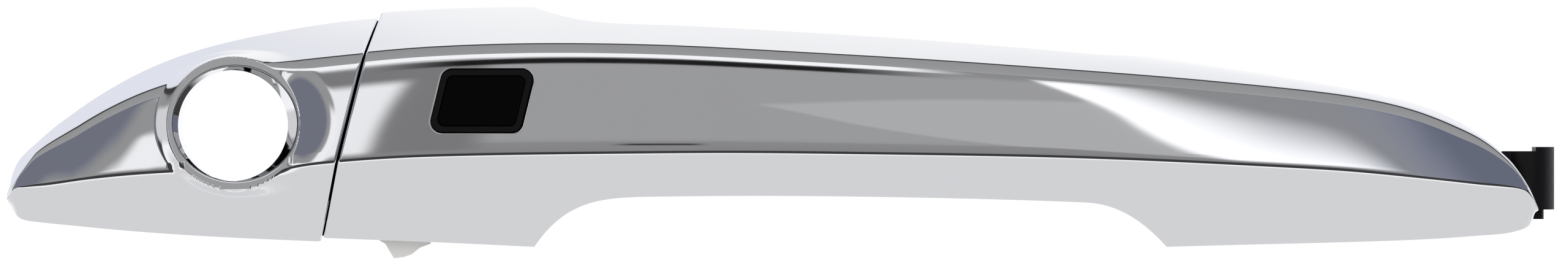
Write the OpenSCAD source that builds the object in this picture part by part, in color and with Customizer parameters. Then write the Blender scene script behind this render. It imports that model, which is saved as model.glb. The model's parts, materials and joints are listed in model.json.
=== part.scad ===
// Exterior car door handle: pull grip, fixed key cap, keyless button and inner carrier.
// Frame: X along the handle toward the hinge end, -Y away from the door, +Z up.
// Origin: midway between the two carrier bolts, on the inner face of the door skin.

/* [Grip and cap] */
// wall of the plated shells
wall_t = 2.2; // [1.8:0.1:2.6]
// thickness of the bar over the hand gap
bar_t = 15; // [14:0.5:17]
// gap at the seam between cap and grip
seam_gap = 0.4; // [0.3:0.1:0.6]
// radius of the upper front crease
crease_r = 3; // [2:0.25:3.5]
// radius of the lock hole in the cap
lock_hole_r = 10.2; // [9:0.1:10.6]
// radius of the ring around the lock hole
lock_ring_r = 12.4; // [12:0.1:13]

/* [Keyless button] */
// width of the button surround
button_w = 17; // [15:0.5:18]
// height of the button surround
button_h = 11.4; // [9:0.2:12]
// lean of the button sides
button_lean = 14; // [0:1:24]
// width of the rubber surround
surround_w = 1; // [0.8:0.1:1.4]

/* [Hinge and leg] */
// radius of the hinge pin
pin_r = 2; // [1.6:0.1:2.2]
// running clearance on pins
run_c = 0.05; // [0.03:0.01:0.09]
// outer radius of the hinge hook
hook_r = 5.5; // [5.2:0.1:5.8]
// height of the leg section
leg_h = 9; // [7:0.5:9]

/* [Bell crank] */
// radius of the crank pin
crank_pin_r = 2.5; // [2:0.1:3]
// length of the crank arm that carries the roller
arm_a = 20; // [19.8:0.1:20.2]
// length of the crank arm that carries the rod clip
arm_b = 22.5; // [21:0.5:24]
// radius of the roller
roller_r = 5; // [4:0.5:5]
// wire diameter of the return spring
wire_d = 1.4; // [1:0.1:1.5]

/* [Carrier] */
// half of the bolt spacing
bolt_x = 38; // [30:1:42]
// radius of the bolt holes
bolt_r = 3.3; // [2.7:0.1:3.5]
// radius of the lock cylinder bore
lock_bore_r = 12.2; // [11.5:0.1:12.4]

/* [Hidden] */
skin = 0.8;
gasket_y = -2;
foot_y = 2.4;
plate_t = 4;
hinge_x = 138.9;
hinge_y = 7;
arm_z0 = -13.7;
arm_z1 = -3.5;
lock_x = -101.9;
lock_z = 1.3;
ring_y = -23.6;
lip_tilt = 5.7;
button_x = -55.6;
button_z = 5.8;
button_turn = -10;
crank_y = 17.6;
crank_z = 7;
rest_a = 26;
leg_x0 = -78;
leg_x1 = -68.6;
leg_z = -13.5;
bumper_x = -63.4;
SCREWS_L = [[-57, -8], [-73.5, 1]];
SCREWS_R = [[101, -6], [112, -8]];
CHROME = [0.8, 0.82, 0.84];
BLACK = [0.1, 0.1, 0.11];
GREY = [0.25, 0.26, 0.27];
STEEL = [0.6, 0.61, 0.63];
RUBBER = [0.06, 0.06, 0.06];
NYLON = [0.93, 0.92, 0.88];
BRASS = [0.8, 0.65, 0.3];
GREEN = [0.1, 0.35, 0.2];

// Curves: [x, value] points joined by smooth cubics.
function slope(c, i) =
  let (a = max(i - 1, 0), b = min(i + 1, len(c) - 1)) (c[b][1] - c[a][1]) / (c[b][0] - c[a][0]);
function span(c, x, i = 0) = i >= len(c) - 2 || x < c[i + 1][0] ? i : span(c, x, i + 1);
function curve(c, x) =
  let (
    i = span(c, x),
    h = c[i + 1][0] - c[i][0],
    t = max(0, min(1, (x - c[i][0]) / h)),
    s = 1 - t
  )
  s * s * (1 + 2 * t) * c[i][1] + t * t * (3 - 2 * t) * c[i + 1][1]
  + t * s * s * h * slope(c, i) - t * t * s * h * slope(c, i + 1);

// Each shell is [top edge, upper crease, lower crease, bottom edge, depth, top slope].
CAP = [
  [[-144.6, -10.3], [-143.9, -7.6], [-142.4, -4.9], [-139, -1.5], [-134.5, 2.4], [-125.4, 8.7],
   [-116.3, 13.2], [-107, 16.2], [-93.5, 19], [-80, 21.1], [-70, 21.7]],
  [[-144.6, -11.2], [-143.9, -9.2], [-142.4, -7], [-139, -3.4], [-132.2, 1.2], [-123, 6.4],
   [-114, 9.6], [-102, 12], [-89, 13.7], [-77.5, 14.8], [-70, 15.6]],
  [[-144.6, -12.3], [-143.2, -11.6], [-141.4, -10.7], [-136.8, -10], [-127.7, -8.8], [-118, -8.1],
   [-100, -7.4], [-89, -6.9], [-80, -5.9], [-70, -5.4]],
  [[-144.6, -13.4], [-143.2, -15.3], [-141.8, -16.1], [-139, -16.6], [-134.5, -17.2], [-116, -18.8],
   [-98, -19.8], [-70, -20.9]],
  [[-144.6, 8.4], [-143.5, 9.9], [-141, 11.3], [-132, 14.5], [-123, 17.5], [-112, 20.4], [-98, 23],
   [-84.4, 26.1], [-70, 29.3]],
  [[-144.6, 0.3], [-70, 0.34]]
];
GRIP = [
  [[-92, 21], [-80, 22], [-73, 22.7], [-60, 23.3], [-48, 23.5], [-20, 22.8], [0, 21.3], [25, 18.8],
   [50, 16], [71, 13.6], [89, 10.9], [107, 7.9], [121, 4.9], [127.7, 1.4], [134.5, -4.1],
   [138.2, -9.2], [140.2, -14.1]],
  [[-92, 13.6], [-80, 14.7], [-73, 15.5], [-64, 16.1], [-47, 16.6], [-32, 16.5], [-20, 16.2],
   [2, 15], [25, 13.7], [48, 12.1], [71, 10.4], [93.5, 8.3], [105, 7], [116, 4.8], [127.7, 0.4],
   [134.5, -5], [138.2, -10], [140.2, -14.2]],
  [[-92, -7], [-84, -6.3], [-73, -5.4], [-55, -4.9], [-32, -4.6], [-9, -4.4], [14, -4.6], [48, -5.1],
   [71, -5.9], [93.5, -7], [105, -7.6], [116, -8.7], [128, -9.8], [134, -10.5], [138, -12],
   [140.2, -14.5]],
  [[-92, -19.6], [-80, -20.1], [-66, -20.6], [-47, -21.5], [-25, -22.5], [0, -22.9], [25, -22.8],
   [50, -22.2], [75, -21.4], [103, -20.7], [121, -20.1], [132, -19.3], [136.8, -18.2],
   [139.1, -16.8], [140.2, -14.8]],
  [[-92, 24], [-84, 26], [-70, 29], [-48, 33], [-20, 36], [2, 37], [16, 36.8], [30, 35.9], [45, 34.3],
   [60, 32.2], [75, 29.7], [93.5, 26.3], [116, 21.8], [128, 18.4], [136.8, 14.5], [140.2, 11.5]],
  [[-92, 0.34], [50, 0.36], [90, 0.24], [105, 0.16], [120, 0.1], [140.2, 0.05]]
];

// Rear edge of the grip as a distance in front of the skin plane: the hand gap arches over it.
function rise(u, sharp) = 1 - pow(1 - max(0, min(1, u)), sharp);
function rear_y(x) =
  let (full = curve(GRIP[4], x) - bar_t - foot_y)
  foot_y + full * min(rise((x + 46.6) / 26, 4.2), rise((71.4 - x) / 16, 2.3));

// One section of a shell at x, as [y, z] from the rear top edge round the front to the rear bottom.
function section(c, x, rear, t) =
  let (
    zu = curve(c[1], x) - t,
    zl = curve(c[2], x) + 0.8 * t,
    d = curve(c[4], x) - t,
    r = min(crease_r - 0.5 * t, 0.28 * (zu - zl)),
    zc = zu - r * sin(75),
    big = (zc + r * sin(8) - zl) / (sin(8) + sin(10)),
    yc = -d + big * (1 - cos(8)) + r * cos(8),
    zr = zc + (r - big) * sin(8),
    yf = yc - r * cos(75),
    yl = -d + big * (1 - cos(9.4)),
    zl2 = zr - big * sin(9.4),
    zt = curve(c[0], x) - 1.15 * t,
    zb = curve(c[3], x) + 1.15 * t,
    df = -yf - foot_y,
    a = curve(c[5], x),
    b = (a * df - (zt - zu)) / (df * df),
    k = (zl2 - zb) / (-yl - foot_y)
  )
  concat(
    [for (s = [1, 0.66, 0.33]) let (e = (-yf - rear) * s) [yf + e, zu + a * e - b * e * e]],
    [for (p = [75, 58, 41, 24]) [yc - r * cos(p), zc + r * sin(p)]],
    [for (p = [8, 3, -2.5, -7]) [-d + big * (1 - cos(p)), zr + big * sin(p)]],
    [[yl, zl2], [yl + 0.7, zl2 - 0.7 * k - 0.25]],
    [[yl * 0.5 - rear * 0.5, zl2 - k * (-yl - rear) * 0.5], [-rear, zl2 - k * (-yl - rear)]]
  );

module loft(xs, secs) {
  n = len(secs[0]);
  m = len(xs);
  polyhedron(
    points = [for (i = [0 : m - 1]) for (p = secs[i]) [xs[i], p[0], p[1]]],
    faces = concat(
      [[for (j = [0 : n - 1]) j]],
      [[for (j = [n - 1 : -1 : 0]) (m - 1) * n + j]],
      [for (i = [0 : m - 2]) for (j = [0 : n - 1])
        let (k = (j + 1) % n) [i * n + j, (i + 1) * n + j, (i + 1) * n + k]],
      [for (i = [0 : m - 2]) for (j = [0 : n - 1])
        let (k = (j + 1) % n) [i * n + j, (i + 1) * n + k, i * n + k]]
    )
  );
}

CAP_X = concat([-144.6, -144.3, -143.8, -143, -141.8, -140, -137.5], [for (x = [-134 : 5 : -74]) x], [-70]);
GRIP_X = concat(
  [-92, -86], [for (x = [-80 : 6 : -50]) x],
  [-46.7, -45.8, -44.6, -43, -40.8, -38, -34.6, -31, -27],
  [for (x = [-20 : 8 : 52]) x],
  [55.5, 58.5, 61.5, 64.2, 66.6, 68.6, 70.2, 71.3, 74],
  [for (x = [80 : 7 : 122]) x],
  [126, 130, 133, 135.5, 137.4, 138.8, 139.7, 140.2]
);

module cap_outer() { loft(CAP_X, [for (x = CAP_X) section(CAP, x, -gasket_y, 0)]); }
module cap_inner(t) {
  xs = [for (x = CAP_X) if (x > -141) x];
  loft(xs, [for (x = xs) section(CAP, x, -2, t)]);
}
module grip_outer() { loft(GRIP_X, [for (x = GRIP_X) section(GRIP, x, rear_y(x), 0)]); }
module grip_inner(t) {
  xs = [for (x = GRIP_X) if (x < 136) x];
  loft(xs, [for (x = xs) section(GRIP, x, -2, t)]);
}

// Everything on one side of the slanted seam; side is 1 for the grip, -1 for the cap.
module seam_side(side, gap) {
  low = -87.2 + side * gap;
  high = -74.2 + side * gap;
  rotate([90, 0, 0])
    linear_extrude(120, center = true)
      polygon([[low, -24], [low + side * 300, -24], [high + side * 300, 27], [high, 27]]);
}

// Turns local X, Y into model X, Z, with height toward the door.
module along_y(y0, y1) {
  translate([0, y1, 0])
    rotate([90, 0, 0])
      linear_extrude(y1 - y0)
        children();
}
module post_y(x, z, r, y0, y1) {
  translate([x, y0, z])
    rotate([-90, 0, 0])
      cylinder(h = y1 - y0, r = r, $fn = 40);
}
module bar_x(x0, x1, y, z, r) {
  translate([x0, y, z])
    rotate([0, 90, 0])
      cylinder(h = x1 - x0, r = r, $fn = 40);
}
module block(x0, x1, y0, y1, z0, z1) { translate([x0, y0, z0]) cube([x1 - x0, y1 - y0, z1 - z0]); }

// Keyless button, in a local frame whose -Y leaves the face squarely.
module at_button() {
  translate([button_x, -curve(GRIP[4], button_x), button_z])
    rotate([0, 0, button_turn])
      children();
}
module lean_shape(w, h, r) {
  a = tan(button_lean);
  cx = w / 2 - r;
  cz = h / 2 - r;
  steps = [0, 30, 60, 90];
  polygon(concat(
    [for (s = steps) [cx + a * cz + r * cos(s), cz + r * sin(s)]],
    [for (s = steps) [-cx + a * cz - r * sin(s), cz + r * cos(s)]],
    [for (s = steps) [-cx - a * cz - r * cos(s), -cz - r * sin(s)]],
    [for (s = steps) [cx - a * cz + r * sin(s), -cz - r * cos(s)]]
  ));
}

// ---- grip ----
module grip_cover() color(CHROME) {
  difference() {
    intersection() {
      grip_outer();
      seam_side(1, seam_gap / 2);
    }
    intersection() {
      grip_inner(wall_t);
      seam_side(1, seam_gap / 2 + wall_t);
    }
    at_button() along_y(-4, 6) lean_shape(button_w + 0.1, button_h + 0.1, 2);
  }
  intersection() {
    grip_inner(wall_t - 0.5);
    for (p = concat(SCREWS_L, SCREWS_R))
      difference() {
        post_y(p[0], p[1], 3.4, -32, -9.4);
        post_y(p[0], p[1], 1.5, -15.6, -9);
      }
  }
}

ARCH_X = [-46.6, -45.8, -44.6, -43, -40.8, -38, -34.6, -31, -27, -18, -8, 2, 12, 24, 36, 48, 54, 58, 61.5,
  64.2, 66.6, 68.6, 70.2, 71.4];
function arch_n(x) =
  let (s = (rear_y(x + 0.3) - rear_y(x - 0.3)) / 0.6) [s, 1] / sqrt(1 + s * s);
module grip_back() color(BLACK) {
  n = len(ARCH_X) - 1;
  foot_in = -foot_y - plate_t;
  difference() {
    intersection() {
      grip_inner(wall_t + 0.1);
      seam_side(1, seam_gap / 2 + wall_t + 0.1);
      translate([0, 0, -40])
        linear_extrude(80)
          polygon(concat(
            [[-92, -foot_y]],
            [for (x = ARCH_X) [x, -rear_y(x)]],
            [[136, -foot_y], [136, foot_in], [77, foot_in]],
            [for (i = [n - 2 : -1 : 2]) let (x = ARCH_X[i]) [x, -rear_y(x)] - 2.6 * arch_n(x)],
            [[-51, foot_in], [-92, foot_in]]
          ));
    }
    block(leg_x0 - 0.1, leg_x1 + 0.1, -8, 0, leg_z - 0.1, leg_z + leg_h + 0.1);
    block(117.9, 130.5, -8, 0, arm_z0 - 0.3, arm_z1 + 0.3);
    block(81.9, 92.1, -8, 0, -7.1, 3.1);
    for (p = concat(SCREWS_L, SCREWS_R)) {
      post_y(p[0], p[1], 1.7, -8, 0);
      post_y(p[0], p[1], 3.2, -4.8, 0);
    }
  }
}

module rear_leg() color(GREY) {
  difference() {
    union() {
      along_y(-9.4, -6.4) polygon([[-79, -12.5], [-52, -12.5], [-52, -3], [-68, 5], [-76, 5]]);
      block(leg_x0, leg_x1, -8.4, 36.3, leg_z, leg_z + leg_h);
      block(leg_x0, -54, 32.9, 36.3, -17.5, -8);
    }
    for (p = SCREWS_L) post_y(p[0], p[1], 1.7, -12, 0);
    block(leg_x0 + 3, leg_x1 - 3, 4, 28, leg_z - 1, leg_z + leg_h + 1);
  }
}

module leg_shoe() color(NYLON) {
  difference() {
    block(-67, -53, 31.9, 37.3, -18.5, -7);
    block(-68, -54, 32.9, 36.3, -17.5, -8);
  }
}

module hinge_arm() color(BLACK) {
  difference() {
    union() {
      along_y(-9.4, -6.4) polygon([[96, -11.5], [122, -11.5], [122, -2.5], [96, -1.5]]);
      translate([0, 0, arm_z0])
        linear_extrude(arm_z1 - arm_z0)
          polygon([[118, -7.8], [125.2, -7.8], [127.5, -5], [129.5, -1], [134.5, 2.6], [140, 1.6], [137, 12.2],
            [126, 3.5], [118, -2.6]]);
      translate([hinge_x, hinge_y, arm_z0])
        cylinder(h = arm_z1 - arm_z0, r = hook_r, $fn = 64);
      intersection() {
        translate([hinge_x, hinge_y, arm_z1 - 1])
          cylinder(h = 1.8, r = hook_r, $fn = 64);
        block(140.6, 146, 0, 14, arm_z1 - 1, arm_z1 + 0.8);
      }
      intersection() {
        translate([hinge_x, hinge_y, -14.4])
          cylinder(h = arm_z0 + 15, r = hook_r, $fn = 64);
        block(140.6, 146, -2, 14, -14.4, arm_z0 + 0.5);
      }
      translate([141.1, hinge_y, -16.2])
        cylinder(h = 3, r = 1.35, $fn = 32);
    }
    for (p = SCREWS_R) post_y(p[0], p[1], 1.7, -12, 0);
    translate([hinge_x, hinge_y, -17])
      cylinder(h = 12.9, r = pin_r + run_c, $fn = 48);
    translate([0, 0, -10.2])
      linear_extrude(4) {
        translate([hinge_x, hinge_y]) circle(r = 4, $fn = 48);
        polygon([[134.9, 7], [142.9, 7], [142.9, 14], [132, 14], [132, 11]]);
      }
  }
}

module grip_screws() color(STEEL)
  for (p = concat(SCREWS_L, SCREWS_R))
    difference() {
      union() {
        post_y(p[0], p[1], 3, -4.8, -2.7);
        post_y(p[0], p[1], 1.5, -15.5, -4.7);
      }
      translate([p[0], -3.9, p[1]])
        rotate([-90, 0, 0])
          cylinder(h = 2, r = 1.3, $fn = 6);
    }

module button_surround() color(RUBBER)
  at_button()
    difference() {
      union() {
        along_y(-0.35, 4) lean_shape(button_w, button_h, 1.9);
        along_y(2.9, 4) lean_shape(button_w + 3, button_h + 2.2, 2);
      }
      along_y(-1, 5) lean_shape(button_w - 2 * surround_w, button_h - 2 * surround_w, 1.3);
    }

module push_panel() color(BLACK)
  at_button()
    union() {
      along_y(-0.1, 2.2) lean_shape(button_w - 2 * surround_w - 0.4, button_h - 2 * surround_w - 0.4, 1.1);
      post_y(0, 0, 3.2, 2, 4.5);
      along_y(4.35, 5.15) lean_shape(button_w + 0.6, button_h, 1);
    }

module switch_stem() color(NYLON) at_button() post_y(0, 0, 1.5, 5.15, 8.2);

module switch_body() color(BLACK)
  at_button()
    difference() {
      block(-3.1, 3.1, 7.3, 10.6, -3.1, 3.1);
      post_y(0, 0, 1.5 + run_c, 6, 9.6);
    }

module circuit_board() color(GREEN) at_button() block(-10.5, 10.5, 10.6, 12.2, -6.2, 6.2);

module board_parts() color(GREY)
  at_button() {
    block(-9, -5, 12.2, 13.6, -4, 2);
    block(4, 9, 12.2, 13.8, -5, 5);
    block(-2, 1, 12.2, 13.2, 2.5, 4.5);
    block(6, 9, 8.8, 10.6, -5, -2);
    post_y(-7, 3.5, 1.6, 7.6, 10.6);
  }

module sensor_case() color(BLACK)
  at_button()
    difference() {
      block(-12, 12, 6.4, 15.8, -7.6, 7.6);
      block(-10.7, 10.7, 7.2, 14.8, -6.3, 6.3);
      post_y(0, 0, 2.4, 5, 8);
      post_y(10, 5, 1.7, 14, 17);
    }

module antenna_core() color([0.16, 0.16, 0.17]) block(-22, 32, -30.2, -27.2, -1, 6);
module antenna_coil() color([0.7, 0.4, 0.2])
  difference() {
    block(-12, 22, -31.2, -26.2, -2, 7);
    block(-13, 23, -30.2, -27.2, -1, 6);
  }
module antenna_tray() color(BLACK)
  difference() {
    block(-26, 36, -31.2, -25.6, -3.4, 8.4);
    block(-22, 32, -32, -27.2, -2.2, 7.2);
    block(-12.2, 22.2, -32, -26.2, -2.2, 7.2);
  }
module touch_plate() color(BRASS) block(-14, 20, -25.4, -25, -2, 8);

LEAD_Y = [[-41.2, -22.2], [-34, -26], [0, -29.5], [40, -27.5], [60, -23.4], [72, -19], [87, -14.2]];
LEAD_Z = [[-41.2, 10.6], [-34, 11.4], [0, 11.6], [40, 10.2], [66, 5.5], [87, 1]];
module lead_wires() color([0.5, 0.1, 0.1])
  for (dy = [0, 1.7]) {
    xs = [for (i = [0 : 30]) -41.2 + 128.2 * i / 30];
    loft(xs, [for (x = xs) [for (q = [0 : 36 : 324])
      [curve(LEAD_Y, x) + dy + 0.7 * cos(q), curve(LEAD_Z, x) + 0.7 * sin(q)]]]);
  }

module terminal_block() color(BLACK)
  difference() {
    block(82, 92, -11.6, -2.6, -7, 3);
    for (z = [-4.5, 0.5]) for (x = [84.5, 89.5]) block(x - 0.6, x + 0.6, -10, 0, z - 0.3, z + 0.3);
  }
module terminal_pins() color(BRASS)
  for (z = [-4.5, 0.5]) for (x = [84.5, 89.5]) block(x - 0.6, x + 0.6, -10, 3, z - 0.3, z + 0.3);

// ---- carrier inside the door ----
function inset(p, d) =
  [for (i = [0 : len(p) - 1])
    let (
      n = len(p),
      a = p[i] - p[(i + n - 1) % n],
      b = p[(i + 1) % n] - p[i],
      na = [-a[1], a[0]] / norm(a),
      nb = [-b[1], b[0]] / norm(b)
    )
    p[i] + d * (na + nb) / (1 + na * nb)];
FRAME = [[-133, -8], [-128, -14.5], [-112, -16], [-50, -17], [-40, -9], [66, -9], [75, -16], [113, -15.5],
  [113, 2.5], [100, 6], [75, 9.5], [50, 12], [0, 13.5], [-40, 14], [-48, 19.5], [-84, 18], [-100, 15.5],
  [-114, 11], [-124, 4.5]];
EAR = [[1, -2], [10, -2], [crank_y + 4, crank_z - 4], [crank_y + 4, crank_z + 4], [10, crank_z + 8],
  [1, crank_z + 8]];
module ear(x0, x1) {
  translate([x0, 0, 0])
    rotate([90, 0, 90])
      linear_extrude(x1 - x0)
        polygon(EAR);
}
SPLIT_X = -84;
module tray(x0, x1)
  difference() {
    intersection() {
      along_y(0, 12) polygon(FRAME);
      block(x0, x1, -1, 13, -30, 30);
    }
    along_y(2.6, 13) polygon(inset(FRAME, 2.4));
  }
module carrier() color(GREY)
  difference() {
    union() {
      tray(SPLIT_X, 120);
      for (x = [-14, 10, 60, 88]) block(x - 1, x + 1, 2, 11, x > 70 ? -15 : -8.5, x > 70 ? 6.5 : 11);
      for (x = [-bolt_x, bolt_x]) post_y(x, 0, 7.5, 0, 14);
      ear(-67.4, -65.1);
      ear(-49, -46.7);
    }
    for (x = [-bolt_x, bolt_x]) post_y(x, 0, 4.8, -1, 15);
    block(-80.6, -66, -1, 8, -20, -3.3);
    block(-67, -51, 2.6, 13, -20, -12.6);
    block(-65.9, -56, 8.2, 13, 14, 24);
    bar_x(-70, -44, crank_y, crank_z, crank_pin_r + 0.02);
    block(80, 94, -1, 4, -9, 5);
    post_y(bumper_x, -4, 1.6, -1, 4);
    for (i = [2, 3, 4]) post_y(PEGS[i][0], PEGS[i][1], 1.6, -1, 3);
    for (z = TAB_Z) post_y(-77, z, 1.5, -1, 4);
    for (z = HINGE_Z) bar_x(106, 114, 7, z, 1.5);
  }

// Die-cast end that holds the lock cylinder, with a tab over the carrier plate.
module lock_bracket() color(STEEL)
  difference() {
    union() {
      tray(-140, SPLIT_X - 0.2);
      post_y(lock_x, lock_z, 14.6, 0, 20);
      block(-90, -71, 2.6, 5.2, -2, 15);
    }
    post_y(lock_x, lock_z, lock_bore_r, -1, 21);
    block(-126.5, -116, -1, 13, -11, -1);
    bar_x(-136, -126, 7, -6, 2.2);
    bar_x(-136, -131, 7, -6, 4.2);
    for (i = [0, 1]) post_y(PEGS[i][0], PEGS[i][1], 1.6, -1, 3);
    for (z = TAB_Z) post_y(-77, z, 1.5, -1, 6);
  }

// Hinge end: side plates and a roof around the arm, and the tongue that carries the pin.
module hinge_bracket() color(STEEL)
  difference() {
    union() {
      block(113, 116.4, 0.2, 18, -16, -0.8);
      block(113, 128, 2.6, 18, -16, -14.4);
      block(113, 126, 2.6, 18, -2.8, -0.8);
      block(113, 142, 14, 18, -13.4, -3.8);
      translate([hinge_x, hinge_y, -9.9])
        cylinder(h = 3.4, r = 3.6, $fn = 48);
      block(hinge_x - 3.6, hinge_x + 2.4, hinge_y, 15, -9.9, -6.5);
    }
    translate([hinge_x, hinge_y, -12])
      cylinder(h = 8, r = pin_r, $fn = 48);
    for (z = HINGE_Z) bar_x(112, 117, 7, z, 1.5);
  }

TAB_Z = [2, 11];
HINGE_Z = [-10, -2.9];
module bracket_screws() color(STEEL) {
  for (z = TAB_Z)
    difference() {
      union() {
        post_y(-77, z, 2.8, 5.2, 7.2);
        post_y(-77, z, 1.5, 0.4, 5.3);
      }
      translate([-77, 6, z])
        rotate([-90, 0, 0])
          cylinder(h = 2, r = 1.3, $fn = 6);
    }
  for (z = HINGE_Z)
    difference() {
      union() {
        bar_x(108.5, 110.6, 7, z, 2.6);
        bar_x(110.5, 116.2, 7, z, 1.5);
      }
      translate([108, 7, z])
        rotate([0, 90, 0])
          cylinder(h = 1.8, r = 1.3, $fn = 6);
    }
}

PEGS = [[-122, 2.2], [-90, -12.5], [-56, -12], [76.5, -1], [104, 1]];
module pegs(list) for (p = list) post_y(p[0], p[1], 1.5, gasket_y + 0.6, 2);

module bolt_sleeves() color(STEEL)
  for (x = [-bolt_x, bolt_x])
    difference() {
      post_y(x, 0, 4.8, 0, 14);
      post_y(x, 0, bolt_r, -1, 15);
    }

module hinge_pin() color(STEEL)
  translate([hinge_x, hinge_y, -13.5])
    cylinder(h = 9, r = pin_r, $fn = 48);

function edge(c, xs, i, d) = [for (x = xs) [x, curve(c[i], x) + d]];
module rear_gasket() color(RUBBER)
  difference() {
    union() {
      along_y(gasket_y, -skin) {
        polygon(concat(
          edge(CAP, [-143.4, -142, -139, -134, -125, -116, -107, -94, -80], 0, -0.9),
          edge(GRIP, [-70, -60, -47.6], 0, -1.2),
          edge(GRIP, [-47.6, -60, -80], 3, 1),
          edge(CAP, [-87, -98, -116, -134, -139, -142, -143.4], 3, 1)
        ));
      }
      pegs([PEGS[0], PEGS[1], PEGS[2]]);
    }
    post_y(lock_x, lock_z, 14.8, -3, 0);
    block(-80.6, -66, -3, 0, -15.5, -2.5);
    block(-126.6, -115.9, -3, 0, -11, -1);
  }
module front_gasket() color(RUBBER)
  difference() {
    union() {
      along_y(gasket_y, -skin) {
        polygon(concat(
          edge(GRIP, [72.4, 89, 107, 121, 127.7, 134, 137.5], 0, -1.1),
          edge(GRIP, [137.5, 132, 121, 103, 72.4], 3, 1)
        ));
      }
      pegs([PEGS[3], PEGS[4]]);
    }
    block(81, 93, -3, 0, -8, 4);
    block(117, 132, -3, 0, -14.4, -2.8);
    for (p = SCREWS_R) post_y(p[0], p[1], 3.4, -3, 0);
  }

// ---- key cap ----
module cap_shell() color(CHROME)
  difference() {
    union() {
      difference() {
        intersection() {
          cap_outer();
          seam_side(-1, seam_gap / 2);
        }
        intersection() {
          cap_inner(wall_t);
          seam_side(-1, seam_gap / 2 + wall_t);
        }
      }
      intersection() {
        translate([lock_x, -16, lock_z])
          rotate([90, 0, 0])
            cylinder(h = -16 - ring_y, r1 = lock_ring_r + 2.6, r2 = lock_ring_r, $fn = 72);
        translate([lock_x, ring_y + 1.2, lock_z])
          rotate([0, 0, -lip_tilt])
            block(-30, 30, 0, 30, -30, 30);
      }
      post_y(lock_x, lock_z, 12.2, -16.5, -6.1);
    }
    post_y(lock_x, lock_z, lock_hole_r, -26, -1);
    translate([lock_x, ring_y + 3, lock_z])
      rotate([90, 0, 0])
        cylinder(h = 3.1, r1 = lock_hole_r, r2 = lock_hole_r + 1.3, $fn = 72);
  }

module cap_retainer() color(BLACK)
  difference() {
    union() {
      post_y(lock_x, lock_z, 12, -6.1, -0.3);
      block(-126, -112, -6, -3, -10, 0);
      block(-126, -117, -6, 11, -10, -2);
    }
    post_y(lock_x, lock_z, 10.7, -14, 1);
    bar_x(-127, -118.5, 7, -6, 1.8);
  }

module cap_screw() color(STEEL)
  difference() {
    union() {
      bar_x(-134, -131, 7, -6, 3.8);
      bar_x(-131.1, -119, 7, -6, 1.8);
    }
    translate([-134.5, 7, -6])
      rotate([0, 90, 0])
        cylinder(h = 2, r = 1.8, $fn = 6);
  }

// ---- leg guide and bell crank ----
module leg_guide() color(NYLON)
  difference() {
    union() {
      block(-80.4, -66.2, -0.4, 7, -15.4, -3.5);
      along_y(2.8, 7) polygon([[-80.4, -15], [-66.2, -15], [-66.2, -20.8], [-68.1, -21.5], [-69.8, -22.8],
        [-71.3, -23.3], [-73, -23.5], [-74.6, -20.8], [-80.4, -17.5]]);
    }
    block(leg_x0 - 1, leg_x1 + 1, -1, 8, leg_z - 0.5, leg_z + leg_h + 0.5);
  }

module crank_pin() color(STEEL)
  difference() {
    union() {
      bar_x(-69.4, -67.4, crank_y, crank_z, crank_pin_r + 1.5);
      bar_x(-67.5, -44.4, crank_y, crank_z, crank_pin_r);
    }
    difference() {
      bar_x(-46.5, -45.5, crank_y, crank_z, crank_pin_r + 1);
      bar_x(-47, -45, crank_y, crank_z, crank_pin_r - 0.5);
    }
  }
module pin_clip() color(STEEL)
  difference() {
    bar_x(-46.4, -45.6, crank_y, crank_z, crank_pin_r + 2);
    bar_x(-47, -45, crank_y, crank_z, crank_pin_r - 0.5);
    block(-47, -45, crank_y - 1.4, crank_y + 1.4, crank_z, crank_z + 6);
  }

module stop_bumper() color(RUBBER)
  union() {
    post_y(bumper_x, -4, 1.6, 0.4, 3);
    post_y(bumper_x, -4, 2.4, 2.6, 7.4);
  }

A_END = [arm_a * sin(rest_a), -arm_a * cos(rest_a)];
W_END = [-10 * sin(rest_a), 10 * cos(rest_a)];
// Plate arm in the crank's plane from the pivot to an end given as [y, z].
module arm(end, w0, w1) {
  u = end / norm(end);
  s = [-u[1], u[0]];
  translate([-64.9, crank_y, crank_z])
    rotate([90, 0, 90])
      linear_extrude(1.9)
        polygon([s * w0, -s * w0, end - s * w1, end + s * w1]);
}
module bell_crank() color(BLACK)
  difference() {
    union() {
      bar_x(-64.9, -49.2, crank_y, crank_z, 4.2);
      bar_x(-64.9, -57.6, crank_y, crank_z, 5.6);
      arm(A_END, 4, 2.4);
      bar_x(-64.9, -63, crank_y + A_END[0], crank_z + A_END[1], 2.6);
      arm([arm_b, 0], 5, 3);
      bar_x(-64.9, -63, crank_y + arm_b, crank_z, 3.4);
      arm(W_END, 5, 4);
      bar_x(-64.9, -57.6, crank_y + W_END[0], crank_z + W_END[1], 4.4);
    }
    bar_x(-66, -48, crank_y, crank_z, crank_pin_r + 0.7);
    bar_x(-66, -62, crank_y + A_END[0], crank_z + A_END[1], 1.25);
    bar_x(-66, -62, crank_y + arm_b, crank_z, 1.6);
    bar_x(-64, -56, crank_y + W_END[0], crank_z + W_END[1], 3.4);
  }
module crank_bush() color(NYLON)
  difference() {
    bar_x(-64.9, -49.2, crank_y, crank_z, crank_pin_r + 0.7);
    bar_x(-66, -48, crank_y, crank_z, crank_pin_r + run_c);
  }
module roller_pin() color(STEEL)
  union() {
    bar_x(-64.9, -57.3, crank_y + A_END[0], crank_z + A_END[1], 1.25);
    bar_x(-57.4, -56.6, crank_y + A_END[0], crank_z + A_END[1], 2.2);
  }
module crank_roller() color(NYLON)
  difference() {
    bar_x(-62.7, -57.7, crank_y + A_END[0], crank_z + A_END[1], roller_r);
    bar_x(-64, -56, crank_y + A_END[0], crank_z + A_END[1], 1.25 + run_c);
  }
module counterweight() color(STEEL) bar_x(-64, -57.4, crank_y + W_END[0], crank_z + W_END[1], 3.4);

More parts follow.
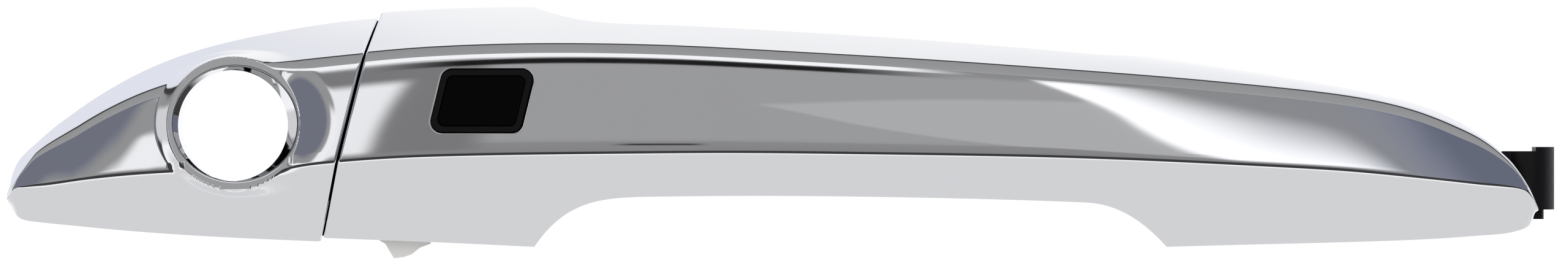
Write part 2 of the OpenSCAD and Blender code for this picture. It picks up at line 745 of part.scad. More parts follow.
module rod_clip() color(NYLON)
  difference() {
    union() {
      bar_x(-65.9, -62, crank_y + arm_b, crank_z, 1.6 - run_c);
      block(-62.7, -54.7, crank_y + arm_b - 4, crank_y + arm_b + 4, crank_z - 5, crank_z + 5);
    }
    translate([-58.2, crank_y + arm_b, crank_z - 6])
      cylinder(h = 12, r = 2.05, $fn = 40);
  }

module return_spring() color(STEEL) {
  r = 5.7;
  turns = 4.25;
  n = 76;
  m = 8;
  start = 90;
  pts = [for (i = [0 : n]) let (a = start + 360 * turns * i / n, x = -56.6 + 6.4 * i / n)
    for (j = [0 : m - 1]) let (q = 360 * j / m, e = r + wire_d / 2 * cos(q))
      [x + wire_d / 2 * sin(q), crank_y + e * cos(a), crank_z + e * sin(a)]];
  polyhedron(
    points = pts,
    faces = concat(
      [[for (j = [m - 1 : -1 : 0]) j]],
      [[for (j = [0 : m - 1]) n * m + j]],
      [for (i = [0 : n - 1]) for (j = [0 : m - 1])
        let (k = (j + 1) % m) [i * m + j, i * m + k, (i + 1) * m + k]],
      [for (i = [0 : n - 1]) for (j = [0 : m - 1])
        let (k = (j + 1) % m) [i * m + j, (i + 1) * m + k, (i + 1) * m + j]]
    )
  );
}

grip_cover();
grip_back();
rear_leg();
leg_shoe();
hinge_arm();
grip_screws();
button_surround();
sensor_case();
circuit_board();
board_parts();
switch_body();
antenna_core();
antenna_coil();
antenna_tray();
touch_plate();
lead_wires();
terminal_block();
terminal_pins();
push_panel();
switch_stem();
carrier();
lock_bracket();
hinge_bracket();
bracket_screws();
bolt_sleeves();
hinge_pin();
rear_gasket();
front_gasket();
cap_shell();
cap_retainer();
cap_screw();
leg_guide();
crank_pin();
pin_clip();
stop_bumper();
return_spring();
bell_crank();
crank_bush();
crank_roller();
roller_pin();
counterweight();
rod_clip();
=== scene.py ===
"""Looks for the car door handle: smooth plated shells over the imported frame, seen straight on."""
import json
import math

import bmesh
import bpy
import numpy as np
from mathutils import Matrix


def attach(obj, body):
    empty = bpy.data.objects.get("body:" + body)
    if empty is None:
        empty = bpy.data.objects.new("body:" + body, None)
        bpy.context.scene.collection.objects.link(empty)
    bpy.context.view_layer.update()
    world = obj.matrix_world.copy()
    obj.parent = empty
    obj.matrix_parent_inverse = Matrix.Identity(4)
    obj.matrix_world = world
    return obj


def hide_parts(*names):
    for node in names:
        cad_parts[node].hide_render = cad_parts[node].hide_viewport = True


MM = 0.001
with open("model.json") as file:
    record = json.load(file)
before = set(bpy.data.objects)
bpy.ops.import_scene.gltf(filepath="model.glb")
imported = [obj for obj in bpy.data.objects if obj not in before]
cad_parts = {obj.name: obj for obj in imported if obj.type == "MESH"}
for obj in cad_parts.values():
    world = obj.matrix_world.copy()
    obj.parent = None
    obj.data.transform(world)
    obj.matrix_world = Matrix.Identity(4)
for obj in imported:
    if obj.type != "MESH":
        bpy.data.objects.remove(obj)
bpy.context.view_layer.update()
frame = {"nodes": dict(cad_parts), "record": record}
col = bpy.context.scene.collection

# ---------------------------------------------------------------- shapes shared with the CAD, in mm
WALL, BAR, FOOT, GASKET = 2.2, 15.0, 2.4, -2.0
CAP = [
    [(-144.6, -10.3), (-143.9, -7.6), (-142.4, -4.9), (-139, -1.5), (-134.5, 2.4), (-125.4, 8.7),
     (-116.3, 13.2), (-107, 16.2), (-93.5, 19), (-80, 21.1), (-70, 21.7)],
    [(-144.6, -11.6), (-143.9, -10.3), (-142.9, -8.8), (-141.9, -7.2), (-139, -3.4), (-132.2, 1.2),
     (-123, 6.4), (-114, 9.6), (-102, 12), (-89, 13.7), (-77.5, 14.8), (-70, 15.6)],
    [(-144.6, -12.3), (-143.9, -11.2), (-142.9, -10.4), (-141.4, -10.3), (-136.8, -10),
     (-127.7, -8.8), (-118, -8.1), (-100, -7.4), (-89, -6.9), (-80, -5.9), (-70, -5.4)],
    [(-144.6, -13.4), (-143.2, -15.3), (-141.8, -16.1), (-139, -16.6), (-134.5, -17.2), (-116, -18.8),
     (-98, -19.8), (-70, -20.9)],
    [(-144.6, 8.4), (-143.5, 9.9), (-141, 11.3), (-132, 14.5), (-123, 17.5), (-112, 20.4), (-98, 23),
     (-84.4, 26.1), (-70, 29.3)],
    [(-144.6, 0.3), (-70, 0.34)],
]
GRIP = [
    [(-92, 21), (-80, 22), (-73, 22.7), (-60, 23.3), (-48, 23.5), (-20, 22.8), (0, 21.3), (25, 18.8),
     (50, 16), (71, 13.6), (89, 10.9), (107, 7.9), (121, 4.9), (127.7, 1.4), (134.5, -4.1),
     (138.2, -9.2), (140.2, -14.1)],
    [(-92, 13.6), (-80, 14.7), (-73, 15.5), (-64, 16.1), (-47, 16.6), (-32, 16.5), (-20, 16.2),
     (2, 15), (25, 13.7), (48, 12.1), (71, 10.4), (93.5, 8.3), (105, 7), (116, 4.8), (127.7, 0.4),
     (134.5, -5), (138.2, -10), (140.2, -14.2)],
    [(-92, -7), (-84, -6.3), (-73, -5.4), (-55, -4.9), (-32, -4.6), (-9, -4.4), (14, -4.6), (48, -5.1),
     (71, -5.9), (93.5, -7), (105, -7.6), (116, -8.7), (128, -9.8), (134, -10.3), (137.6, -10.9),
     (139.3, -12.6), (140.2, -14.5)],
    [(-92, -19.6), (-80, -20.1), (-66, -20.6), (-47, -21.5), (-25, -22.5), (0, -22.9), (25, -22.8),
     (50, -22.2), (75, -21.4), (103, -20.7), (121, -20.1), (132, -19.3), (136.8, -18.4),
     (139.4, -17), (140.2, -14.8)],
    [(-92, 24), (-84, 26), (-70, 29), (-48, 33), (-20, 36), (2, 37), (16, 36.8), (30, 35.9), (45, 34.3),
     (60, 32.2), (75, 29.7), (93.5, 26.3), (116, 21.8), (128, 18.4), (136.8, 14.5), (140.2, 11.5)],
    [(-92, 0.34), (50, 0.36), (90, 0.24), (105, 0.16), (120, 0.1), (140.2, 0.05)],
]


def hermite(c, x):
    c = np.array(c, float)
    px, pv = c[:, 0], c[:, 1]
    n = len(px)
    a = np.maximum(np.arange(n) - 1, 0)
    b = np.minimum(np.arange(n) + 1, n - 1)
    m = (pv[b] - pv[a]) / (px[b] - px[a])
    i = np.clip(np.searchsorted(px, x, side="right") - 1, 0, n - 2)
    h = px[i + 1] - px[i]
    t = np.clip((x - px[i]) / h, 0, 1)
    s = 1 - t
    return (s * s * (1 + 2 * t) * pv[i] + t * t * (3 - 2 * t) * pv[i + 1]
            + t * s * s * h * m[i] - t * t * s * h * m[i + 1])


def fair(c, x, tip, sigma):
    """The curve with its small kinks evened out, and left alone near the rounded tip."""
    x0, x1, step = c[0][0], c[-1][0], 0.25
    g = np.arange(x0, x1 + step / 2, step)
    v = hermite(c, g)
    k = int(4 * sigma / step)
    pad = np.concatenate([2 * v[0] - v[k:0:-1], v, 2 * v[-1] - v[-2:-k - 2:-1]])
    w = np.exp(-0.5 * (np.arange(-k, k + 1) * step / sigma) ** 2)
    sm = np.convolve(pad, w / w.sum(), mode="valid")
    far = np.clip((np.abs(g - tip) - 5) / 16, 0, 1)
    far = far * far * (3 - 2 * far)
    return np.interp(x, g, v * (1 - far) + sm * far)


def rise(u, sharp):
    return 1 - (1 - np.clip(u, 0, 1)) ** sharp


def rear_of(x):
    full = fair(GRIP[4], x, 140.2, 6) - BAR - FOOT
    return FOOT + full * np.minimum(rise((x + 46.6) / 26, 4.2), rise((71.4 - x) / 16, 2.3))


def rounded(p0, c, p1, n):
    """A quadratic round from p0 to p1 about the corner c."""
    t = np.linspace(0, 1, n)[None, :, None]
    return (1 - t) ** 2 * p0[:, None] + 2 * t * (1 - t) * c[:, None] + t * t * p1[:, None]


def sn(q):
    return math.sin(math.radians(q))


def cs(q):
    return math.cos(math.radians(q))


def sections(c, x, rear, tip, n_top, n_main, n_low, sigma=6.0):
    """Section paths as [x index, point, (y, z)], from inside the top rim round to the bottom rim."""
    zt, zu, zl, zb, d, a = [fair(c[i], x, tip, sigma) for i in range(6)]
    r = np.minimum(3.0, 0.28 * (zu - zl))
    zc = zu - r * sn(75)
    big = (zc + r * sn(8) - zl) / (sn(8) + sn(10))
    yc = -d + big * (1 - cs(8)) + r * cs(8)
    zr = zc + (r - big) * sn(8)
    yf = yc - r * cs(75)
    yl = -d + big * (1 - cs(9.4))
    zl2 = zr - big * sn(9.4)
    df = -yf - FOOT
    b = (a * df - (zt - zu)) / (df * df)
    k = (zl2 - zb) / (-yl - FOOT)

    def top(e):
        return np.stack([yf + e, zu + a * e - b * e * e], -1)

    def low(e):
        return np.stack([yl + e, zl2 - k * e], -1)

    deep_t, deep_l = -yf - rear, -yl - rear
    edge = np.minimum(0.5, 0.05 * (zu - zl) + 0.02)
    wall = np.minimum(WALL, 0.3 * (zt - zb))
    ct, cl = top(deep_t), low(deep_l)
    in_t = np.stack([ct[:, 0], ct[:, 1] - wall], -1)
    in_l = np.stack([cl[:, 0], cl[:, 1] + wall], -1)
    parts = [
        np.stack([in_t[:, 0] - 1.6, in_t[:, 1] + 0.16], -1)[:, None],
        in_t[:, None],
        rounded(np.stack([ct[:, 0], ct[:, 1] - edge], -1), ct, top(deep_t - edge), 6),
    ]
    for s in np.linspace(1, 0, n_top + 2)[1:-1]:
        parts.append(top((deep_t - edge) * s)[:, None])
    for p in np.linspace(75, 8, 26):
        parts.append(np.stack([yc - r * cs(p), zc + r * sn(p)], -1)[:, None])
    crease = np.minimum(0.6, 0.08 * (zu - zl))
    last = 9.4 - 2.2
    for p in np.linspace(8, -last, n_main)[1:]:
        parts.append(np.stack([-d + big * (1 - cs(p)), zr + big * sn(p)], -1)[:, None])
    start = np.stack([-d + big * (1 - cs(last)), zr - big * sn(last)], -1)
    corner = low(0 * d)
    run = np.linalg.norm(corner - start, axis=1)
    f = np.minimum(crease / np.maximum(run, 1e-6), 1)[:, None]
    parts.append(rounded(corner + (start - corner) * f, corner, low(crease), 9))
    for s in np.linspace(0, 1, n_low + 2)[1:-1]:
        parts.append(low(crease + (deep_l - edge - crease) * s)[:, None])
    parts.append(rounded(low(deep_l - edge), cl, np.stack([cl[:, 0], cl[:, 1] + edge], -1), 6))
    parts.append(in_l[:, None])
    parts.append(np.stack([in_l[:, 0] - 1.6, in_l[:, 1] - 0.16], -1)[:, None])
    return np.concatenate(parts, axis=1)


def seam_x(z, side):
    return -87.2 + 13 * (z + 24) / 51 + side * 0.2


def shell(c, xs, rear, tip, side, far, counts):
    """A shell as grids X, Y, Z [column, point]; the first column lies on the seam, with a small round."""
    def at(x):
        return sections(c, x, rear(x), tip, *counts)

    n = at(np.array([far])).shape[1]
    pick = np.arange(n)
    sx = np.full(n, -81.0)
    for _ in range(5):
        sx = seam_x(at(sx)[pick, pick, 1], side)
    steps = np.array([0, 0.012, 0.045, 0.1, 0.17, 0.25, 0.33, 0.42, 0.55, 0.7, 0.9, 1.2])
    more = np.linspace(0, 1, 46)[1:-1]
    cols = [sx + side * s for s in steps]
    edge_x = cols[-1]
    cols += [edge_x + (far - edge_x) * t for t in more]
    X = np.array(cols)
    near = np.empty((len(cols), n, 2))
    for i, xc in enumerate(cols):
        near[i] = at(xc)[pick, pick]
    # round the edge: pull the first columns in along the section normal
    t = np.gradient(near[0], axis=0)
    nrm = np.stack([-t[:, 1], t[:, 0]], -1)
    nrm /= np.linalg.norm(nrm, axis=1)[:, None]
    centre = np.array([-8.0, 0.0])
    flip = np.sign(((near[0] - centre) * nrm).sum(1).sum())
    for i, s in enumerate(steps[:8]):
        pull = 0.42 - math.sqrt(max(0, 0.42 ** 2 - (0.42 - s) ** 2))
        near[i, 3:-3] -= (nrm * flip * pull)[3:-3]
    full = at(xs)
    X = np.concatenate([X, np.repeat(xs[:, None], n, 1)])
    YZ = np.concatenate([near, full])
    return X, YZ[:, :, 0].copy(), YZ[:, :, 1].copy()


def open_hole(X, Y, Z, dist):
    """Opens a hole in the grid. dist gives the distance outside its outline and the way outward."""
    di = [np.gradient(A, axis=0) for A in (X, Y, Z)]
    dj = [np.gradient(A, axis=1) for A in (X, Y, Z)]
    d, nx, nz = dist(X, Z)
    front = Y < -11
    h = 0.45 * np.minimum(np.abs(di[0]), np.hypot(dj[1], dj[2]))
    on = front & (np.abs(d) < h)
    out = ~on & ((d > 0) | ~front)
    keep = out[:-1, :-1] | out[:-1, 1:] | out[1:, 1:] | out[1:, :-1]
    used = np.zeros(X.shape, bool)
    for i, j in ((0, 0), (0, 1), (1, 1), (1, 0)):
        used[i:i + keep.shape[0], j:j + keep.shape[1]] |= keep
    move = used & ~out
    det = di[0] * dj[2] - di[2] * dj[0]
    ddx, ddz = -d * nx, -d * nz
    a = (ddx * dj[2] - ddz * dj[0]) / det
    b = (di[0] * ddz - di[2] * ddx) / det
    X[move] += ddx[move]
    Z[move] += ddz[move]
    Y[move] += (di[1] * a + dj[1] * b)[move]
    return keep, move


def rim_loop(faces, on):
    """The vertex ids round the hole, in order."""
    e = np.concatenate([faces[:, [0, 1]], faces[:, [1, 2]], faces[:, [2, 3]], faces[:, [3, 0]]])
    e = e[on[e].all(1)]
    key = np.sort(e, 1)
    _, first, count = np.unique(key, axis=0, return_index=True, return_counts=True)
    follow = {}
    for a, b in e[first[count == 1]]:
        follow.setdefault(int(a), []).append(int(b))
        follow.setdefault(int(b), []).append(int(a))
    start = next(iter(follow))
    loop, prev, cur = [start], None, start
    while True:
        prev, cur = cur, next(v for v in follow[cur] if v != prev)
        if cur == start:
            return loop
        loop.append(cur)


class Skin:
    """Vertices in mm and faces, gathered before they become one mesh."""

    def __init__(self, X, Y, Z, keep):
        nx, n = X.shape
        self.v = [np.stack([X, Y, Z], -1).reshape(-1, 3)]
        self.count = nx * n
        ids = np.arange(nx * n).reshape(nx, n)
        quads = np.stack([ids[:-1, :-1], ids[:-1, 1:], ids[1:, 1:], ids[1:, :-1]], -1)
        self.quads = quads[keep]
        self.f = [tuple(q) for q in self.quads.tolist()]
        self.f.append(tuple(ids[0].tolist()))
        self.f.append(tuple(ids[-1].tolist()))

    def ring(self, loop, points):
        """Adds a ring of points joined to the loop; returns its ids."""
        ids = list(range(self.count, self.count + len(points)))
        self.v.append(np.array(points))
        self.count += len(points)
        for q in range(len(loop)):
            w = (q + 1) % len(loop)
            self.f.append((loop[q], loop[w], ids[w], ids[q]))
        return ids

    def make(self, name, angle):
        me = bpy.data.meshes.new(name)
        me.from_pydata((np.concatenate(self.v) * MM).tolist(), [], self.f)
        bm = bmesh.new()
        bm.from_mesh(me)
        bmesh.ops.delete(bm, geom=[v for v in bm.verts if not v.link_faces], context="VERTS")
        bmesh.ops.remove_doubles(bm, verts=bm.verts[:], dist=1e-7)
        bmesh.ops.recalc_face_normals(bm, faces=bm.faces[:])
        bm.to_mesh(me)
        bm.free()
        for p in me.polygons:
            p.use_smooth = True
        me.set_sharp_from_angle(angle=math.radians(angle))
        ob = bpy.data.objects.new(name, me)
        col.objects.link(ob)
        return ob


def spaced(*runs):
    return np.unique(np.concatenate([np.linspace(a, b, n) for a, b, n in runs]))


# ---------------------------------------------------------------- grip shell, opened round the button
BX, BZ, TURN, LEAN = -55.6, 5.8, math.radians(-10), math.tan(math.radians(14))
EDGE = 0.32
AP_W, AP_H, AP_R = 17.1 + 2 * EDGE, 11.5 + 2 * EDGE, 2.0 + EDGE


def button_outline(X, Z):
    """Distance outside the leaning rounded outline, and its outward direction, in x and z."""
    u, z = (X - BX) / math.cos(TURN), Z - BZ
    hw, hh = AP_W / 2 - AP_R, AP_H / 2 - AP_R
    corners = [(sx * hw + LEAN * sz * hh, sz * hh) for sx, sz in ((1, 1), (-1, 1), (-1, -1), (1, -1))]
    inside = (np.abs(z) < hh) & (np.abs(u - LEAN * z) < hw)
    best = np.full(u.shape, np.inf)
    near_u, near_z = np.zeros(u.shape), np.zeros(u.shape)
    for (u0, z0), (u1, z1) in zip(corners, corners[1:] + corners[:1]):
        run = (u1 - u0) ** 2 + (z1 - z0) ** 2
        t = np.clip(((u - u0) * (u1 - u0) + (z - z0) * (z1 - z0)) / run, 0, 1)
        pu, pz = u0 + t * (u1 - u0), z0 + t * (z1 - z0)
        far = np.hypot(u - pu, z - pz)
        closer = far < best
        best = np.where(closer, far, best)
        near_u, near_z = np.where(closer, pu, near_u), np.where(closer, pz, near_z)
    sign = np.where(inside, -1.0, 1.0)
    safe = np.maximum(best, 1e-6)
    return sign * best - AP_R, sign * (u - near_u) / safe * math.cos(TURN), sign * (z - near_z) / safe


gx = spaced((-66, -46.6, 110), (-46.6, -40, 50), (-40, -26, 50), (-26, 54, 150), (54, 66, 40),
            (66, 71.5, 50), (71.5, 126, 110), (126, 136, 50), (136, 140.2, 60))
X, Y, Z = shell(GRIP, gx[1:], rear_of, 140.2, 1, -66, (18, 90, 14))
keep, moved = open_hole(X, Y, Z, button_outline)
skin = Skin(X, Y, Z, keep)
loop = rim_loop(skin.quads, moved.reshape(-1))
rim = skin.v[0][loop]
inward = np.array([-math.sin(TURN), math.cos(TURN), 0])
middle = rim.mean(0)
ids = loop
just_out = rim + 1e-3 * (rim - middle)
_, out_x, out_z = button_outline(just_out[:, 0], just_out[:, 2])
away = np.stack([out_x, out_x * math.tan(TURN), out_z], -1)
for q in (18, 36, 54, 72, 90):
    ids = skin.ring(ids, rim - away * EDGE * sn(q) + inward * EDGE * (1 - cs(q)))
ids = skin.ring(ids, rim - away * EDGE + inward * 2.6)
grip = skin.make("grip_shell_skin", 38)
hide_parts("grip_cover")
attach(grip, "grip")

# ---------------------------------------------------------------- key cap with its flared lock boss
LX, LZ, HOLE = -101.9, 1.3, 10.2
BOSS_X, BOSS_Z, BOSS_R = -101.7, 1.65, 12.4
LIP_Y, LIP_LEAN = -22.45, math.tan(math.radians(5.7))
MOUTH_X, MOUTH_Z, MOUTH_A, MOUTH_B = -101.4, 1.6, 12.0, 10.95


def lip(x):
    """The plane of the lock's lip, which leans with the face round it."""
    return LIP_Y - (x - LX) * LIP_LEAN


def mouth_outline(X, Z):
    """Distance outside the oval mouth of the lock hole, and its outward direction, in x and z."""
    px, pz = X - MOUTH_X, Z - MOUTH_Z
    far = np.maximum(np.hypot(px, pz), 1e-6)
    size = np.hypot(px / MOUTH_A, pz / MOUTH_B)
    return far * (1 - 1 / np.maximum(size, 1e-3)), px / far, pz / far


def flare(X, Y, Z):
    """Draws the skin round the lock out to the lip: long and soft on the right, steep elsewhere."""
    px, pz = X - BOSS_X, Z - BOSS_Z
    far = np.maximum(np.hypot(px, pz), 1e-6)
    right = np.clip(px / far, 0, 1) ** 2
    left = np.clip(-px / far, 0, 1) ** 2
    s = np.clip((far - BOSS_R) / (1.2 + 6.8 * right + 1.2 * left), 0, 1)
    w = (1 - s) ** (1.3 + 1.6 * right)
    w = np.where(Y < -3.5, w, 0)
    return Y + (lip(X) - Y) * w


cx = spaced((-144.6, -143, 50), (-143, -137, 50), (-137, -118, 60), (-118, -88.5, 190))
X, Y, Z = shell(CAP, cx[:-1][::-1], lambda x: np.full(np.shape(x), -GASKET), -144.6, -1, -88.5, (40, 110, 30))
Y = flare(X, Y, Z)
keep, moved = open_hole(X, Y, Z, mouth_outline)
skin = Skin(X, Y, Z, keep)
loop = rim_loop(skin.quads, moved.reshape(-1))
rim = skin.v[0][loop]
way = rim[:, [0, 2]] - np.array([MOUTH_X, MOUTH_Z])
turn = np.arctan2(way[:, 1] / MOUTH_B, way[:, 0] / MOUTH_A)


def around(cx, cz, a, b, y, lean):
    """An oval ring of points; lean is how far it follows the plane of the lip."""
    x = cx + a * np.cos(turn)
    return np.stack([x, y + lean * (lip(x) - LIP_Y), cz + b * np.sin(turn)], -1)


ids = loop
LIP_R = 0.35
for q in (25, 50, 75):
    ids = skin.ring(ids, around(MOUTH_X, MOUTH_Z, MOUTH_A - LIP_R * sn(q), MOUTH_B - LIP_R * sn(q),
                                LIP_Y + LIP_R * (1 - cs(q)), 1))
mouth = around(MOUTH_X, MOUTH_Z, MOUTH_A - LIP_R, MOUTH_B - LIP_R, 0, 0)
bore = around(LX, LZ, HOLE, HOLE, 0, 0)
throat = 0.84 * np.linalg.norm(mouth - bore, axis=1)
for t in np.linspace(0, 1, 9):
    ids = skin.ring(ids, around(LX + (MOUTH_X - LX) * (1 - t), LZ + (MOUTH_Z - LZ) * (1 - t),
                                HOLE + (MOUTH_A - LIP_R - HOLE) * (1 - t),
                                HOLE + (MOUTH_B - LIP_R - HOLE) * (1 - t),
                                LIP_Y + LIP_R + throat * t, 1))
for r, y in ((HOLE, -17), (HOLE, -6.1), (12.2, -6.1), (12.2, -15)):
    ids = skin.ring(ids, around(LX, LZ, r, r, y, 0))
cap = skin.make("cap_shell_skin", 42)
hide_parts("cap_shell")
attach(cap, "base")


# ---------------------------------------------------------------- materials
def material(name, color, rough, metal=0.0, spread=0.04, scale=400.0, bump=0.0, tint=0.06, shine=0.5):
    """A principled surface whose colour and roughness vary slightly with a fine noise."""
    mat = bpy.data.materials.new(name)
    mat.use_nodes = True
    nt = mat.node_tree
    bsdf = nt.nodes["Principled BSDF"]
    coord = nt.nodes.new("ShaderNodeTexCoord")
    noise = nt.nodes.new("ShaderNodeTexNoise")
    noise.inputs["Scale"].default_value = scale
    noise.inputs["Detail"].default_value = 3
    nt.links.new(coord.outputs["Object"], noise.inputs["Vector"])
    ramp = nt.nodes.new("ShaderNodeMapRange")
    ramp.inputs["To Min"].default_value = rough - spread
    ramp.inputs["To Max"].default_value = rough + spread
    nt.links.new(noise.outputs["Fac"], ramp.inputs["Value"])
    nt.links.new(ramp.outputs["Result"], bsdf.inputs["Roughness"])
    mix = nt.nodes.new("ShaderNodeMix")
    mix.data_type = "RGBA"
    mix.inputs["A"].default_value = (*[c * (1 - tint) for c in color], 1)
    mix.inputs["B"].default_value = (*[min(1, c * (1 + tint)) for c in color], 1)
    nt.links.new(noise.outputs["Fac"], mix.inputs["Factor"])
    nt.links.new(mix.outputs["Result"], bsdf.inputs["Base Color"])
    bsdf.inputs["Metallic"].default_value = metal
    bsdf.inputs["Specular IOR Level"].default_value = shine
    if bump:
        bn = nt.nodes.new("ShaderNodeBump")
        bn.inputs["Strength"].default_value = bump
        bn.inputs["Distance"].default_value = 0.0001
        nt.links.new(noise.outputs["Fac"], bn.inputs["Height"])
        nt.links.new(bn.outputs["Normal"], bsdf.inputs["Normal"])
    return mat


LOOKS = {
    "chrome": material("chrome", (0.93, 0.935, 0.945), 0.035, 1.0, 0.012, 60, 0, 0.01),
    "black_plastic": material("black_plastic", (0.004, 0.004, 0.005), 0.45, 0, 0.06, 900, 0.3, 0.08, 0.3),
    "dark_plastic": material("dark_plastic", (0.05, 0.05, 0.055), 0.5, 0, 0.06, 700, 0.4),
    "panel_plastic": material("panel_plastic", (0.001, 0.001, 0.0011), 0.5, 0, 0.05, 1200, 0.2, 0.1, 0.06),
    "rubber": material("rubber", (0.006, 0.006, 0.006), 0.6, 0, 0.06, 900, 0.2, 0.1, 0.12),
    "nylon": material("nylon", (0.98, 0.97, 0.95), 0.45, 0, 0.05, 300, 0.1, 0.01, 0.3),
    "steel": material("steel", (0.62, 0.63, 0.65), 0.28, 1.0, 0.06, 500, 0.1),
    "cast_metal": material("cast_metal", (0.5, 0.51, 0.53), 0.42, 1.0, 0.07, 350, 0.35, 0.08),
    "brass": material("brass", (0.83, 0.66, 0.33), 0.25, 1.0, 0.05, 500, 0.05),
    "copper": material("copper", (0.8, 0.42, 0.26), 0.3, 1.0, 0.05, 500, 0.05),
    "board": material("board", (0.03, 0.2, 0.08), 0.35, 0, 0.05, 300, 0.05, 0.1),
    "ferrite": material("ferrite", (0.06, 0.06, 0.065), 0.55, 0, 0.06, 600, 0.3),
    "wire_sleeve": material("wire_sleeve", (0.3, 0.02, 0.02), 0.45, 0, 0.05, 500, 0.05),
}
slot_of = {s["node"]: s["material_slot"] for s in frame["record"]["subparts"]}
for node, ob in frame["nodes"].items():
    ob.data.materials.clear()
    ob.data.materials.append(LOOKS[slot_of[node]])
    for p in ob.data.polygons:
        p.use_smooth = True
    ob.data.set_sharp_from_angle(angle=math.radians(28))
for ob in (grip, cap):
    ob.data.materials.append(LOOKS["chrome"])

# ---------------------------------------------------------------- world: a studio set by direction only, its tones painted as the reflections the chrome shows
scene = bpy.context.scene
world = bpy.data.worlds.new("studio")
scene.world = world
world.use_nodes = True
wt = world.node_tree
wt.nodes.clear()


def put(kind, **values):
    nd = wt.nodes.new(kind)
    for k, v in values.items():
        setattr(nd, k, v)
    return nd


def link(value, socket):
    if isinstance(value, (int, float)):
        socket.default_value = value
    else:
        wt.links.new(value, socket)


def calc(op, a, b=0.0):
    nd = put("ShaderNodeMath", operation=op)
    link(a, nd.inputs[0])
    link(b, nd.inputs[1])
    return nd.outputs[0]


def ease(value, a, b):
    """0 below a, 1 above b, smooth between."""
    nd = put("ShaderNodeMapRange", interpolation_type="SMOOTHSTEP")
    link(value, nd.inputs["Value"])
    nd.inputs["From Min"].default_value = a
    nd.inputs["From Max"].default_value = b
    return nd.outputs["Result"]


def both(*values):
    out = values[0]
    for v in values[1:]:
        out = calc("MULTIPLY", out, v)
    return out


def paint(base, level, mask):
    nd = put("ShaderNodeMix", data_type="FLOAT")
    link(mask, nd.inputs["Factor"])
    link(base, nd.inputs["A"])
    link(level, nd.inputs["B"])
    return nd.outputs["Result"]


coord = put("ShaderNodeTexCoord")
xyz = put("ShaderNodeSeparateXYZ")
wt.links.new(coord.outputs["Generated"], xyz.inputs["Vector"])
dx, dy, dz = xyz.outputs[0], xyz.outputs[1], xyz.outputs[2]
DEGREES, UP_OPEN, ACROSS_OPEN = 57.29578, 1.018, 1.055
# degrees, a little under full size: the near camera opens the reflected angles towards the ends
up = calc("MULTIPLY", calc("ARCTAN2", dz, calc("MULTIPLY", dy, -1)), DEGREES / UP_OPEN)
across = calc("MULTIPLY", calc("ARCSINE", dx), DEGREES / ACROSS_OPEN)
ramp = put("ShaderNodeValToRGB")
link(calc("ADD", calc("DIVIDE", up, 360), 0.5), ramp.inputs["Fac"])
# painted reflection tones by the up angle in degrees: the bands the chrome mirrors
FACE = 0.345
BANDS = [(-180, 1.0), (-160, 0.95), (-140, 0.72), (-122, 0.68), (-100, 0.68), (-88, 0.95), (-76, 0.95),
         (-68, 0.05), (-30, 0.04), (-20, 0.24), (-15, 0.27), (-13.6, FACE), (16, FACE), (16.6, 0.95),
         (35, 0.97), (38, 0.33), (112, 0.3), (117, 0.05), (129, 0.05), (134, 0.9), (150, 0.93), (180, 1.0)]
el = ramp.color_ramp.elements
while len(el) > 1:
    el.remove(el[-1])
for i, (pos, val) in enumerate(BANDS):
    e = el[0] if i == 0 else el.new((pos + 180) / 360)
    e.position = (pos + 180) / 360
    e.color = (val, val, val, 1)
bw = put("ShaderNodeRGBToBW")
wt.links.new(ramp.outputs["Color"], bw.inputs["Color"])
tone = bw.outputs[0]


def within(value, a, b, soft):
    return both(ease(value, a - soft, a + soft), ease(value, b + soft, b - soft))


def less(a, b):
    return calc("SUBTRACT", a, b)


def curve_of(x, c0, c1, c2=0.0):
    """c0 + c1 x + c2 x^2"""
    return calc("ADD", c0, calc("MULTIPLY", x, calc("ADD", c1, calc("MULTIPLY", x, c2))))


face = within(up, -19, 15.8, 1.2)
wide = within(up, -30, 36, 2)
# painted reflection: the white line of the upper crease softens to blue grey on the right
tone = paint(tone, 0.27, both(ease(across, 7, 13), within(up, 15, 36, 1)))
# painted reflection: the wedge of light over the middle
from_tip = calc("ADD", across, 3.8)
tone = paint(tone, 0.43, both(face, ease(from_tip, -0.5, 0.6),
                              ease(less(up, curve_of(from_tip, 0, -0.95, 0.0075)), -0.5, 0.5),
                              ease(less(up, calc("MULTIPLY", from_tip, 0.35)), 0.9, -0.9)))
# painted reflection: a thin dark lens low on the middle
tone = paint(tone, 0.01, both(within(across, -11.2, -7.2, 0.7), within(up, -17.1, -16.3, 0.3)))
# painted reflection: the white patch, fading to blue grey towards the right end
above = calc("MAXIMUM", up, 0)
patch = less(across, less(curve_of(up, 18.9, -0.07), curve_of(above, 0, 0, 0.0095)))
tone = paint(tone, 1.15, both(face, ease(patch, -0.35, 0.35)))
tone = paint(tone, 0.27, both(wide, ease(patch, 0.9, 6.2)))
tone = paint(tone, 0.16, both(wide, ease(across, 25.5, 38)))
# painted reflections on the left: dim beside the button, a bright S at the seam, then the cap's own lights
tone = paint(tone, 0.2, both(face, ease(across, -18.6, -21)))
bend = less(across, curve_of(up, -24.15, 0.01, 0.0028))
tone = paint(tone, 0.86, both(within(up, -19, 9, 1.8), ease(bend, 0.5, -0.5)))
tone = paint(tone, 0.3, both(within(up, 0, 15.8, 3), ease(across, -28, -29.5)))
tone = paint(tone, 0.9, both(within(up, -19, -1, 2.5), ease(across, -27, -28.5)))
tone = paint(tone, 0.3, both(wide, ease(across, -31.4, -33.6)))
tone = paint(tone, 0.18, both(wide, ease(across, -34, -38)))
tone = paint(tone, 0.66, both(within(up, -120, 120, 4), ease(across, -69, -75)))
# painted reflection: the black line under the upper crease
line = both(within(up, 13.7, 15.7, 0.3), ease(across, 13, 2), ease(across, -26, -21.5))
tone = paint(tone, 0.01, line)
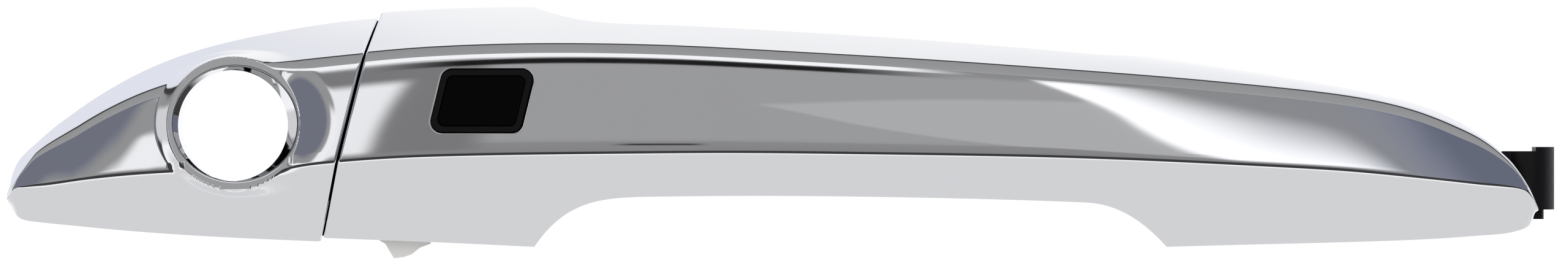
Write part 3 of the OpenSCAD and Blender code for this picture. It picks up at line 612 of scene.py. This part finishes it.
# painted shade in the reflection: the top surface darkens towards both ends
top = ease(up, 131, 134)
tone = paint(tone, 0.82, both(top, ease(across, 2.5, 9)))
tone = paint(tone, 0.8, both(top, ease(across, -3, -10)))
# painted reflection tint: blue grey towards the right, the far left and the ends of the top
blue = both(wide, ease(across, 20, 36))
blue = calc("MAXIMUM", blue, calc("MULTIPLY", both(wide, within(across, -70, -36, 1.5)), 0.65))
blue = calc("MAXIMUM", blue, calc("MULTIPLY", both(top, ease(calc("ABSOLUTE", across), 3, 12)), 0.25))
back = put("ShaderNodeBackground")
rgb = put("ShaderNodeCombineColor")
link(calc("MULTIPLY", tone, curve_of(blue, 1, -0.14)), rgb.inputs[0])
link(calc("MULTIPLY", tone, curve_of(blue, 1, -0.06)), rgb.inputs[1])
link(calc("MULTIPLY", tone, curve_of(blue, 1.02, 0.26)), rgb.inputs[2])
wt.links.new(rgb.outputs[0], back.inputs["Color"])
plain = put("ShaderNodeBackground")
plain.inputs["Color"].default_value = (1, 1, 1, 1)
plain.inputs["Strength"].default_value = 1.0
# camera and diffuse rays see plain white; only glossy rays see the painted reflection tones
path = put("ShaderNodeLightPath")
choose = put("ShaderNodeMixShader")
link(calc("MAXIMUM", path.outputs["Is Camera Ray"], path.outputs["Is Diffuse Ray"]), choose.inputs[0])
wt.links.new(back.outputs[0], choose.inputs[1])
wt.links.new(plain.outputs[0], choose.inputs[2])
end = put("ShaderNodeOutputWorld")
wt.links.new(choose.outputs[0], end.inputs["Surface"])

# ---------------------------------------------------------------- floor and camera
bm = bmesh.new()
FLOOR_SIZE, FLOOR_Z = 14, -0.45
bmesh.ops.create_grid(bm, x_segments=1, y_segments=1, size=FLOOR_SIZE)
me = bpy.data.meshes.new("floor")
bm.to_mesh(me)
bm.free()
floor = bpy.data.objects.new("floor", me)
floor.location = (0, 0, FLOOR_Z)
floor.visible_glossy = False
floor.data.materials.append(material("floor", (0.86, 0.86, 0.86), 0.8, 0, 0.05, 3, 0, 0.01))
col.objects.link(floor)

cam = bpy.data.cameras.new("camera")
cam_ob = bpy.data.objects.new("camera", cam)
col.objects.link(cam_ob)
# SPAN is the width seen at the plane TRUE_Y in front of the origin
DIST, SPAN, TRUE_Y = 2.0, 2560 * 0.000114, 0.008
cam.sensor_width = 36
cam.lens = 36 * DIST / SPAN
cam.clip_end = 20
cam_ob.location = (0, -DIST - TRUE_Y, 0)
cam_ob.rotation_euler = (math.radians(90), 0, 0)
scene.camera = cam_ob
scene.view_settings.view_transform = "Standard"
